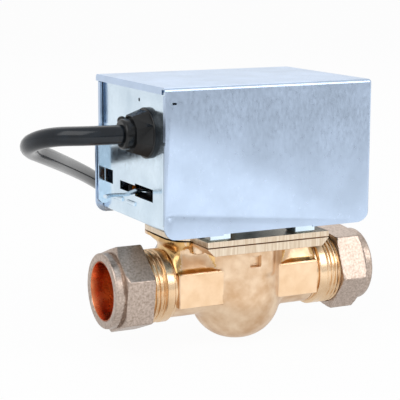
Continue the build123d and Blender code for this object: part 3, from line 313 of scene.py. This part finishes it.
def forging(x, y, z):
    """Bowl, necks, wrench flats, saddle, pads, flange, lobes and boss joined by fillets, less every bore."""
    here, across, round_x = (x, y, z), np.abs(x), np.hypot(y, z)
    far = smooth_min(pot((x - BOWL_X, y, z), BOWL_R, BOWL_BOTTOM, BOWL_ROUND),
                     pot(here, BOWL_R, -13.0, 8.0, BOWL_BACK), 3.0)
    far = smooth_min(far, rounded([across - NECK_END, round_x - NECK_R], 0.4), 2.5)
    far = smooth_min(far, box((across, y, z), (10.5, -14.1, -7), (NECK_END, 14.1, 6.5), 0.7), 0.35)
    far = smooth_min(far, box((across, y, z), (-28.5, -9.3, 2), (28.5, 9.3, 19), 1.5), 7.0)
    far = smooth_min(far, lobes(here), 4.5)
    far = smooth_min(far, box(here, (-21, 6, -6), (21, 18, 19), 4.0), 3.0)
    for low, high in ((-25.8, -15.5), (17.5, 25.0)):
        far = smooth_min(far, box(here, (low, -10, 7.2), (high, 10, 19), 0.5), 0.9)
    flange = box(here, (FLANGE_X[0], -FLANGE_Y, FLANGE_Z[0]), (FLANGE_X[1], FLANGE_Y, 19.8), 0.3)
    for side in (-1, 1):
        for at in (-13.0, 12.5):
            far = smooth_min(far, rounded([np.hypot(x - side * 22.3, y - at) - 2.7, 14.0 - z], 0.8), 1.5)
    for side, end in ((-1, -FLANGE_X[0]), (1, FLANGE_X[1])):
        flange = np.maximum(flange, (side * x - end - (z - FLANGE_Z[0] - FLANGE_BEVEL)) / np.sqrt(2))
    far = smooth_min(far, flange, 1.0)
    far = smooth_min(far, rounded([np.hypot(x - 5.6, y + 15.8) - 3.3, 3.5 - z], 2.2), 1.6)
    ledge = np.maximum(pot((x - BOWL_X, y, z), BOWL_R + 0.55, -40.0, 1.0), box(here, (-6.7, -30, -2.3), (4.8, 0, 2.9), 0.3))
    far = smooth_min(far, ledge, 0.5)
    inset = rounded([np.abs(x - 1.35) - 25.7, np.abs(y) - 26.0], 0.3)
    far = np.maximum(np.maximum(far, z - FLANGE_Z[1]), np.minimum(z - FLANGE_Z[1] + 0.45, inset))
    cuts = [pot(here, BOWL_R - WALL, BOWL_BOTTOM + WALL, BOWL_ROUND - WALL),
            pot(here, BOWL_R - WALL, -9.5, 5.0, BOWL_BACK), np.maximum(round_x - 8.8, 16.5 - across),
            np.maximum(round_x - 8.8, 8.0 - x), np.maximum(round_x - 7.0, x),
            box(here, (-2.5, -21, 7.6), (2.3, -16.3, 12.3), 0.6)]
    cuts += [np.maximum(np.hypot(x - side * 22.3, y - at) - 1.8, 14.2 - z) for side in (-1, 1) for at in (-13.0, 12.5)]
    seat = np.maximum(np.maximum(round_x - 9.4, np.abs(x + 13.4) - 3.1), 7.0 - round_x)
    for cut in cuts:
        far = np.maximum(far, -cut)
    return np.minimum(far, seat)


print("wall at the bowl's bottom in mm:", WALL)

# %% Turning a distance into a surface
def surface_of(field, low, high, step):
    """A mesh of the zero surface: one vertex for each crossed cell, at the point nearest all its crossings' tangent planes."""
    lines = [np.arange(a, b + step, step, dtype=np.float32) for a, b in zip(low, high)]
    inside = np.broadcast_to(field(*np.meshgrid(*lines, indexing="ij", sparse=True)), [len(v) for v in lines]) < 0
    corner = np.array([(i, j, k) for i in (0, 1) for j in (0, 1) for k in (0, 1)])
    n = np.array(inside.shape) - 1
    filled = sum(inside[i:i + n[0], j:j + n[1], k:k + n[2]].astype(np.int8) for i, j, k in corner)
    cells = np.argwhere((filled > 0) & (filled < 8))
    spots = (cells[:, None, :] + corner) * step + low
    value = field(*np.moveaxis(spots, 2, 0))
    pairs = [(a, b) for a in range(8) for b in range(a + 1, 8) if abs(corner[a] - corner[b]).sum() == 1]
    owner, cut = [], []
    for a, b in pairs:
        hit = np.nonzero((value[:, a] < 0) != (value[:, b] < 0))[0]
        share = (value[hit, a] / (value[hit, a] - value[hit, b]))[:, None]
        owner.append(hit)
        cut.append(spots[hit, a] + share * (spots[hit, b] - spots[hit, a]))
    owner, cut = np.concatenate(owner), np.concatenate(cut)
    slope = np.stack([field(*(cut + d).T) - field(*(cut - d).T) for d in np.eye(3) * 0.02], 1)
    normal = slope / np.maximum(np.linalg.norm(slope, axis=1, keepdims=True), 1e-9)
    cut = cut - normal * field(*cut.T)[:, None]

    def total(values):
        return np.bincount(owner, values, len(cells))

    middle = np.stack([total(cut[:, i]) for i in range(3)], 1) / np.maximum(total(None), 1)[:, None]
    rise = (normal * (cut - middle[owner])).sum(1)
    matrix = np.stack([np.stack([total(normal[:, i] * normal[:, j]) for j in range(3)], 1) for i in range(3)], 1)
    push = np.stack([total(normal[:, i] * rise) for i in range(3)], 1)
    vertex = middle + np.linalg.solve(matrix + 0.08 * np.eye(3), push[..., None])[..., 0]
    centre = (cells + 0.5) * step + low
    vertex = np.clip(vertex, centre - 0.75 * step, centre + 0.75 * step)
    index = np.full(n, -1)
    index[tuple(cells.T)] = np.arange(len(cells))
    faces = []
    for axis in range(3):
        first, second = [a for a in range(3) if a != axis]
        before, after = [np.take(inside, range(s, inside.shape[axis] - 1 + s), axis) for s in (0, 1)]
        edge = np.argwhere(before != after)
        edge = edge[(edge[:, first] > 0) & (edge[:, second] > 0) & (edge[:, first] < n[first]) & (edge[:, second] < n[second])]
        ring = []
        for i, j in ((-1, -1), (0, -1), (0, 0), (-1, 0)):
            cell = edge.copy()
            cell[:, first] += i
            cell[:, second] += j
            ring.append(index[tuple(cell.T)])
        ring = np.stack(ring, 1)
        turned = before[tuple(edge.T)] == (axis == 1)
        ring[turned] = ring[turned][:, ::-1]
        faces.append(ring)
    return vertex, np.concatenate(faces)


BODY_STEP = 0.6
body_points, body_faces = surface_of(forging, (-32.0, -28.0, -25.5), (32.0, 28.0, 20.5), BODY_STEP)
print("forging:", len(body_points), "points,", len(body_faces), "faces")

# %% [markdown]
# Each end outside the wrench flats is turned on a lathe: a groove, a plain ring, then a right-hand
# thread, and inside it the pipe's socket with a small cone at its mouth for the olive.

# %% The turned and threaded ends
PITCH = 1.75
CREST, ROOT = 14.3, 13.6
THREAD_FROM, THREAD_TO = 35.6, 46.4
CREST_AT = 36.5
AROUND = 180


def turned_end(side):
    """A profile (x, r) swept round X; along the thread r follows the helix (x - crest) / pitch - angle / turn."""
    profile = [(30.45, 8.8), (30.45, 13.1), (30.6, 13.2), (31.7, 13.2), (31.9, 14.0), (32.3, CREST), (35.1, CREST)]
    profile += [(x, CREST) for x in np.arange(THREAD_FROM, THREAD_TO, PITCH / 12)]
    profile += [(46.6, 13.4), (47.0, 12.9), (47.0, 12.3), (45.8, 11.1), (34.5, 11.1), (34.5, 8.8)]
    x, r = np.array(profile).T
    angle = np.linspace(0, 2 * pi, AROUND, endpoint=False)[:, None]
    phase = (x - CREST_AT) / PITCH - (angle + pi / 2 * side) / (2 * pi)
    ridge = np.clip(0.5 + 0.7 * np.cos(2 * pi * phase), 0, 1)
    threaded = (x >= THREAD_FROM - 0.01) & (x < THREAD_TO)
    runout = np.clip((x - THREAD_FROM) / 0.8, 0, 1) * np.clip((THREAD_TO - x) / 0.8, 0, 1)
    radius = np.where(threaded, ROOT + (CREST - ROOT) * ridge * runout, r)
    points = np.stack([np.broadcast_to(x * side, radius.shape), radius * np.cos(angle) * side, radius * np.sin(angle)], 2)
    row, column = np.meshgrid(np.arange(AROUND), np.arange(len(x)), indexing="ij")
    next_row, next_column = (row + 1) % AROUND, (column + 1) % len(x)
    faces = np.stack([row * len(x) + column, row * len(x) + next_column, next_row * len(x) + next_column,
                      next_row * len(x) + column], 2)
    return points.reshape(-1, 3), faces.reshape(-1, 4)[:, ::-1]


ends = [turned_end(-1), turned_end(1)]
print("points on each end:", len(ends[0][0]))

# %% The forging and its ends as one piece
body_of = {node: body for body, nodes in frame["record"]["behaviour"]["bodies"].items() for node in nodes}


def stands_for(piece, node):
    """The piece takes the place of a solid part: it rides on the same body, and the part is hidden."""
    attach(piece, body_of[node])
    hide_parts(node)


def solid_piece(name, points, faces, sharp=32):
    """A mesh object from points in drawing millimetres, shaded smooth but for edges sharper than that angle."""
    mesh = bpy.data.meshes.new(name)
    mesh.from_pydata(placed(points).tolist(), [], faces.tolist())
    mesh.polygons.foreach_set("use_smooth", np.ones(len(mesh.polygons), bool))
    mesh.set_sharp_from_angle(angle=radians(sharp))
    made = bpy.data.objects.new(name, mesh)
    bpy.context.scene.collection.objects.link(made)
    return made


offsets = np.cumsum([0, len(body_points), len(ends[0][0])])
all_points = np.vstack([body_points, ends[0][0], ends[1][0]])
all_faces = np.vstack([body_faces + offsets[0], ends[0][1] + offsets[1], ends[1][1] + offsets[2]])
forged_body = solid_piece("forged_body", all_points, all_faces)
stands_for(forged_body, "valve_body")

quad = all_points[all_faces]
middle = quad.mean(1)
facing = np.cross(quad[:, 2] - quad[:, 0], quad[:, 3] - quad[:, 1])
facing /= np.maximum(np.linalg.norm(facing, axis=1, keepdims=True), 1e-9)
across, around = np.abs(middle[:, 0]), np.hypot(middle[:, 1], middle[:, 2])
# Painted shade: the saddle's upward faces above the necks and under the flange get a glossier brass, darker there as
# painted shade.
saddle_gloss_and_painted_shade = (middle[:, 2] > 6.2) & (across > 14.5) & (np.abs(middle[:, 1]) < 13.95) & (facing[:, 1] > -0.9)
rim = (middle[:, 2] > 15.3) & (np.abs(facing[:, 1]) > 0.9) & (np.abs(middle[:, 1]) > 26)
flat = (np.abs(middle[:, 1]) > 13.8) & (across > 12.0) & (middle[:, 2] < 6.5) & (np.abs(facing[:, 1]) > 0.9)
machined = (np.arange(len(all_faces)) >= len(body_faces)) | (around < 9.5) & (across > 8)
kind = np.select([machined, rim, flat, saddle_gloss_and_painted_shade & (middle[:, 2] < 18.7)], [2, 3, 4, 1], 0)
forged_body.data.polygons.foreach_set("material_index", kind.astype(np.int32))
print("volume's sign, positive when faces look out:",
      np.sign((quad[:, 0] * np.cross(quad[:, 1], quad[:, 2])).sum() + (quad[:, 0] * np.cross(quad[:, 2], quad[:, 3])).sum()))

# %% [markdown]
# Each compression nut is a hexagon whose front corners a lathe has cut back to a cone, with a round
# collar in front. It is drawn the same way as the forging, from distances.

# %% The compression nuts
NUT_FLATS, NUT_BACK, NUT_FACE, HEX_FRONT, COLLAR_R, HOLE_R = 30.5, 41.1, 56.6, 52.6, 14.5, 11.3


def nut_field(side, turn):
    """The distance of a nut on that end: hexagon and cone, or collar, less its hole and its threaded bore."""
    def field(x, y, z):
        along, across = side * x, np.hypot(y, z)
        flats = [np.abs(y * np.cos(a) + z * np.sin(a)) - NUT_FLATS / 2
                 for a in np.radians(np.array([0, 60, 120]) + turn)]
        cone = [(across + (along - HEX_FRONT) * 1.7 - NUT_FLATS / 2 - 0.6) / 1.97,
                (across + (NUT_BACK - along) * 1.7 - NUT_FLATS / 2 - 1.5) / 1.97]
        hexagon = rounded([*flats, *cone, along - HEX_FRONT, NUT_BACK - along], 0.35)
        collar = rounded([across - COLLAR_R, along - NUT_FACE, 45.0 - along], 0.8)
        groove = np.maximum(across - COLLAR_R - 2, COLLAR_R - 0.35 - across)
        solid = np.maximum(np.minimum(hexagon, collar), -np.maximum(groove, np.abs(along - HEX_FRONT - 0.35) - 0.35))
        hole = rounded([across - HOLE_R, 50.0 - along], 0.05)
        mouth = (across - HOLE_R + (NUT_FACE - along) - 0.5) / 1.42
        bore = rounded([across - 14.45, along - 50.7], 0.1)
        olive_cone = np.maximum(across - 13.1, (across - HOLE_R + (along - 53.3) * 0.947) / 1.377)
        return np.maximum(solid, -np.minimum(np.minimum(hole, mouth), np.minimum(bore, olive_cone)))
    return field


def sleeve(side):
    """A thin copper-coloured skin inside the nut's hole, from x 50 out to its mouth: a closed profile (x, r) swept
    round X.
    """
    x, r = np.array([(50.0, 11.12), (56.2, 11.12), (56.35, 11.2), (56.35, 11.34), (50.0, 11.34)]).T
    angle = np.linspace(0, 2 * pi, 120, endpoint=False)[:, None]
    points = np.stack([np.broadcast_to(x * side, (120, len(x))), r * np.cos(angle) * side, r * np.sin(angle)], 2)
    row, column = np.meshgrid(np.arange(120), np.arange(len(x)), indexing="ij")
    next_row, next_column = (row + 1) % 120, (column + 1) % len(x)
    faces = np.stack([row, row, next_row, next_row], 2) * len(x) + np.stack([column, next_column, next_column, column], 2)
    return points.reshape(-1, 3), faces.reshape(-1, 4)[:, ::-1]


nuts = {}
for name, side, turn in (("inlet_nut", -1, 9.4), ("outlet_nut", 1, -22.4)):
    ends_x = sorted((side * 41.0, side * 57.6))
    nut_points, nut_faces = surface_of(nut_field(side, turn), (ends_x[0], -19, -19), (ends_x[1], 19, 19), 0.42)
    lining_points, lining_faces = sleeve(side)
    lining = np.arange(len(nut_faces) + len(lining_faces)) >= len(nut_faces)
    nuts[name] = solid_piece(name + "_turned", np.vstack([nut_points, lining_points]),
                             np.vstack([nut_faces, lining_faces + len(nut_points)]), 36)
    stands_for(nuts[name], name)
    nuts[name].data.polygons.foreach_set("material_index", lining.astype(np.int32))
    print(name, len(nut_faces), "faces")

# %% [markdown]
# Folded sheet, turned nuts and moulded plastic never end in a knife edge. Each of these pieces is copied
# from the solid model, its triangles are welded, and a small bevel breaks its edges, so they catch light.

# %% Pieces with broken edges
EDGES = {
    "cover": 0.22, "base_frame": 0.18, "body_plate": 0.22,
    "manual_lever": 0.15, "cable_gland": 0.22, "inlet_olive": 0.12, "outlet_olive": 0.12,
}


FOLD = {"cover": 3.4}
STRETCH = {"cover": [((30, 0, 0), (1, 0, 0), (1.2, 0, 0)), ((0, 0, 31.8), (0, 0, -1), (0, 0, -1.1))]}


def eased(name, width):
    """A copy of a solid part with its triangles welded and merged into flat faces, and a rounded bevel of that width in mm."""
    source = frame["nodes"][name]
    copy = bpy.data.objects.new(name + "_eased", source.data.copy())
    bpy.context.scene.collection.objects.link(copy)
    shape = bmesh.new()
    shape.from_mesh(copy.data)
    bmesh.ops.remove_doubles(shape, verts=shape.verts, dist=0.002 * MM)
    bmesh.ops.dissolve_limit(shape, angle_limit=radians(1), verts=shape.verts, edges=shape.edges)
    for beyond, reach, move in STRETCH.get(name, []):
        for vertex in shape.verts:
            if (vertex.co - Vector(placed(beyond))).dot(Vector(reach)) > 0:
                vertex.co += Vector(move) * MM
    weight = shape.edges.layers.float.new("bevel_weight_edge")
    low, high = (np.array([f([v.co[i] for v in shape.verts]) for i in range(3)]) for f in (min, max))
    for edge in shape.edges:
        if edge.calc_face_angle(0) > radians(32):
            ends = np.array([vertex.co[:] for vertex in edge.verts])
            on_box = (np.abs(ends - low).max(0) < 0.05 * MM).sum() + (np.abs(ends - high).max(0) < 0.05 * MM).sum()
            edge[weight] = FOLD.get(name, 1.0) if on_box > 1 else 1.0
    for edge in shape.edges:
        edge[weight] /= FOLD.get(name, 1.0)
    shape.to_mesh(copy.data)
    shape.free()
    copy.data.polygons.foreach_set("use_smooth", np.ones(len(copy.data.polygons), bool))
    copy.data.set_sharp_from_angle(angle=radians(32))
    bevel = copy.modifiers.new("broken edges", "BEVEL")
    bevel.width = width * FOLD.get(name, 1.0) * MM
    bevel.segments = 3
    bevel.limit_method = "WEIGHT"
    bevel.harden_normals = True
    stands_for(copy, name)
    return copy


pieces = {name: eased(name, width) for name, width in EDGES.items()}
print("pieces with broken edges:", len(pieces))

# %% [markdown]
# Now the finishes. Each one is made from the real material and the way its surface was worked, with
# patterns at their real size in millimetres, read from the object's own coordinates. The saddle's glossy
# brass is also darker, as painted shade.

# %% A plain start for every finish
def finish(name, colour, metallic, roughness, **sockets):
    """A new material whose principled shader has that colour, metal share and roughness; returns its tree and shader."""
    made = bpy.data.materials.new(name)
    made.use_nodes = True
    shader = made.node_tree.nodes["Principled BSDF"]
    shader.inputs["Base Color"].default_value = linear(colour)
    shader.inputs["Metallic"].default_value = metallic
    shader.inputs["Roughness"].default_value = roughness
    for socket, value in sockets.items():
        shader.inputs[socket.replace("_", " ")].default_value = value
    return made, made.node_tree, shader


def per_mm(size):
    """The scale that makes a pattern's features about that many millimetres wide."""
    return 1 / (size * MM)


def grain(tree, size, detail=3.0, stretch=(1, 1, 1)):
    """A noise over object coordinates with features of that size in mm, longer along an axis whose stretch is below 1."""
    where = add(tree, "ShaderNodeTexCoord")
    scaled = add(tree, "ShaderNodeMapping", {"Vector": where.outputs["Object"], "Scale": stretch})
    return add(tree, "ShaderNodeTexNoise", {"Vector": scaled.outputs[0], "Scale": per_mm(size), "Detail": detail})


def tinted(tree, shader, source, dark, light, low=0.3, high=0.7):
    """Base colour from dark to light as the pattern goes from low to high."""
    ramp = add(tree, "ShaderNodeValToRGB", {"Fac": source})
    ramp.color_ramp.elements[0].position, ramp.color_ramp.elements[1].position = low, high
    ramp.color_ramp.elements[0].color, ramp.color_ramp.elements[1].color = linear(dark), linear(light)
    tree.links.new(ramp.outputs["Color"], shader.inputs["Base Color"])
    return ramp


def rubbed(tree, shader, source, low, high):
    """Roughness from low to high as the pattern goes from 0.25 to 0.75."""
    spread = add(tree, "ShaderNodeMapRange", {"Value": source, "From Min": 0.25, "From Max": 0.75,
                                              "To Min": low, "To Max": high})
    tree.links.new(spread.outputs[0], shader.inputs["Roughness"])


def raised(tree, shader, source, height, strength=1.0):
    """Bump of that height in mm from a pattern."""
    bump = add(tree, "ShaderNodeBump", {"Height": source, "Distance": height * MM, "Strength": strength})
    tree.links.new(bump.outputs[0], shader.inputs["Normal"])


print("a 2 mm pattern has scale", per_mm(2.0))

# %% Brass finishes
def brass(name, dark, light, rough, skin, depth, drift_mm=9.0, stretch=(1, 1, 1)):
    """Brass with a colour drift of one size in mm, a fine skin of another and its depth, and roughness from a pair."""
    made, tree, shader = finish(name, light, 1.0, rough[0])
    drift = grain(tree, drift_mm, 4.0, stretch)
    tinted(tree, shader, drift.outputs["Fac"], dark, light)
    fine = grain(tree, skin, 3.0)
    rubbed(tree, shader, fine.outputs["Fac"], *rough)
    raised(tree, shader, fine.outputs["Fac"], depth)
    return made


forged = brass("forged brass, shot blasted", "#d0ab86", "#f0d6b8", (0.28, 0.44), 0.55, 0.035, 6.0)
linished = brass("forged brass, linished", "#e8c49c", "#fadcba", (0.28, 0.42), 0.5, 0.03, 7.0)
# Glossier brass for the saddle under the flange; its darker colour is painted shade.
glossy_brass_with_painted_shade = brass("forged brass, glossy, with painted shade", "#b88d54", "#e2bc84", (0.16, 0.28), 1.2, 0.03, 4.0)
machined_brass = brass("brass, turned bright", "#d8b48c", "#efd3b0", (0.18, 0.30), 0.4, 0.008)
milled = brass("brass plate, milled edge", "#cdb79c", "#eadcc8", (0.26, 0.40), 0.5, 0.02, 0.7, (1, 1, 0.06))
tumbled = brass("brass nut, tumbled", "#a08f82", "#cdbcb0", (0.28, 0.44), 0.4, 0.05, 0.8)
copper = brass("copper olive, annealed", "#dc9470", "#f0ac88", (0.22, 0.30), 3.0, 0.002)
turned = brass("brass, turned", "#d6ad6c", "#e6c389", (0.18, 0.30), 0.4, 0.01)
copper = brass("copper olive, annealed", "#d07a50", "#e8966a", (0.20, 0.32), 3.0, 0.006)

# %% Sheet, steel and motor finishes
def sheet_metal(name, dark, light, rough, drift_mm=14.0):
    """Rolled sheet: a slow drift of colour and a fine grain that runs up and down."""
    made, tree, shader = finish(name, light, 1.0, rough[0])
    drift = grain(tree, drift_mm, 3.0)
    tinted(tree, shader, drift.outputs["Fac"], dark, light)
    skin = grain(tree, 0.9, 4.0, (1, 1, 0.5))
    rubbed(tree, shader, skin.outputs["Fac"], *rough)
    raised(tree, shader, skin.outputs["Fac"], 0.0025)
    return made


cover_sheet = sheet_metal("zinc coated steel sheet, satin", "#b9cae0", "#c6d8f0", (0.26, 0.38))
zinc_sheet = sheet_metal("zinc coated steel sheet, bright", "#c4d6e4", "#dcecf8", (0.10, 0.26))
bright_steel = sheet_metal("steel, bright zinc plate", "#c4c8cc", "#dadde0", (0.2, 0.32), 4.0)
gear_steel = sheet_metal("pressed steel", "#a5a49d", "#bab8b0", (0.26, 0.4), 6.0)
can_metal = sheet_metal("drawn can", "#bcc0c6", "#cfd3d8", (0.22, 0.34), 10.0)
spring_steel = sheet_metal("spring wire", "#6c6c70", "#85858a", (0.25, 0.38), 3.0)


# %% Plastic and rubber finishes
def plastic(name, dark, light, rough, skin=0.5, depth=0.01):
    """A moulded plastic: a faint drift of colour and a fine moulded skin."""
    made, tree, shader = finish(name, light, 0.0, rough[0], Specular_IOR_Level=0.38)
    drift = grain(tree, 6.0, 3.0)
    tinted(tree, shader, drift.outputs["Fac"], dark, light)
    fine = grain(tree, skin, 2.0)
    rubbed(tree, shader, fine.outputs["Fac"], *rough)
    raised(tree, shader, fine.outputs["Fac"], depth)
    return made


gland_nylon = plastic("nylon, moulded", "#030507", "#080b0f", (0.18, 0.28))
sheath_pvc = plastic("PVC sheath", "#0a1118", "#141d26", (0.14, 0.22), 0.8, 0.002)
phenolic = plastic("phenolic, moulded", "#1c1c1e", "#2b2b2e", (0.35, 0.5))
rubber = plastic("nitrile rubber", "#121212", "#1c1c1c", (0.45, 0.6))
tie_strip = plastic("coated tie strip", "#101214", "#1c1f22", (0.25, 0.4))
CORE_COLOURS = {"blue": "#2a5fb0", "brown": "#5e3822", "grey": "#85888b", "orange": "#e57a1c"}
core_pvc = {name: plastic(name + " core PVC", code, code, (0.25, 0.35)) for name, code in CORE_COLOURS.items()}
core_pvc["green_yellow"] = plastic("green and yellow core PVC", "#3f9a3a", "#e6cf2a", (0.25, 0.35))

# %% Give every part its finish
FINISHES = {
    milled: ["body_plate"],
    copper: ["inlet_olive", "outlet_olive"],
    turned: ["spindle", "ball_arm", "switch_terminals", "earth_tag", "motor_pinion"],
    bright_steel: ["arm_pin", "spindle_clips", "body_plate_screws", "base_screws", "motor_plate_screws",
                   "motor_screws", "switch_screws", "earth_screw", "lever_pivot", "motor_posts", "switch_lever"],
    rubber: ["plate_seal", "spindle_seals", "valve_ball"],
    zinc_sheet: ["base_frame", "motor_plate", "manual_lever"],
    cover_sheet: ["cover"],
    gear_steel: ["sector_gear"],
    can_metal: ["motor_can", "motor_gearbox"],
    spring_steel: ["return_spring"],
    phenolic: ["switch_body"],
    gland_nylon: ["cable_gland", "gland_nut"],
    tie_strip: ["cable_tie"],
}
for colour, material in core_pvc.items():
    FINISHES[material] = [colour + "_core", colour + "_tail"]
for material, names in FINISHES.items():
    for name in names:
        part = pieces.get(name, frame["nodes"][name])
        part.data.materials.clear()
        part.data.materials.append(material)
for material in (forged, glossy_brass_with_painted_shade, machined_brass, milled, linished):
    forged_body.data.materials.append(material)
for piece in nuts.values():
    piece.data.materials.append(tumbled)
    piece.data.materials.append(copper)
lead.data.materials.append(sheath_pvc)
print("finishes:", len(FINISHES) + 4)

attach(lead, "valve")
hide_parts("cable", "cable_coil", "cable_tail")
